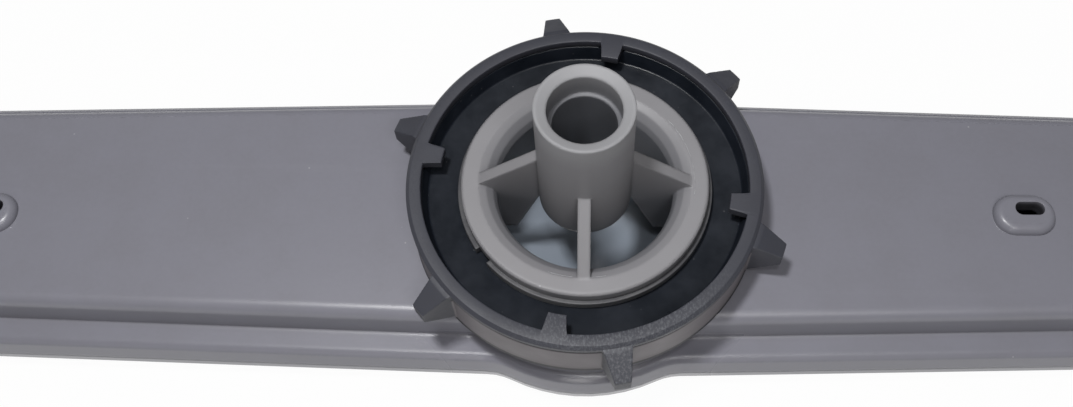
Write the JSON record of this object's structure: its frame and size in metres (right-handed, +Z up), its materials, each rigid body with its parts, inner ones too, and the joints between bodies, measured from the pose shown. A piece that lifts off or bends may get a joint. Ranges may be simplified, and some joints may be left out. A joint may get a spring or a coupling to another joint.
{
  "type": "dishwasher spray arm",
  "caption": "Long tapered hollow spray arm with a ribbed centre tube on its hub side and a lugged bayonet ring nut that turns on the hub.",
  "frame": {"origin": "on the hub axis, in the flat spray face that the arm lies on", "axes": "+X along the arm, +Z up the hub axis towards the feed tube's mouth"},
  "size_m": [0.47, 0.083, 0.0604],
  "materials": {
    "arm_grey": "satin",
    "hub_grey": "satin",
    "nut_dark": "matte, lightly grained",
    "seal_black": "smooth",
    "slide_grey": "satin"
  },
  "bodies": {
    "arm": {"upper_shell": "arm_grey", "spray_shell": "arm_grey", "hub": "hub_grey", "slide_ring": "slide_grey"},
    "nut": {"ring_nut": "nut_dark", "channel_seal": "seal_black"}
  },
  "joints": [
    {"name": "nut_turn", "type": "hinge", "parent": "arm", "child": "nut", "pos_m": [0, 0, 0.0243], "axis": [0, 0, 1], "continuous": true}
  ]
}
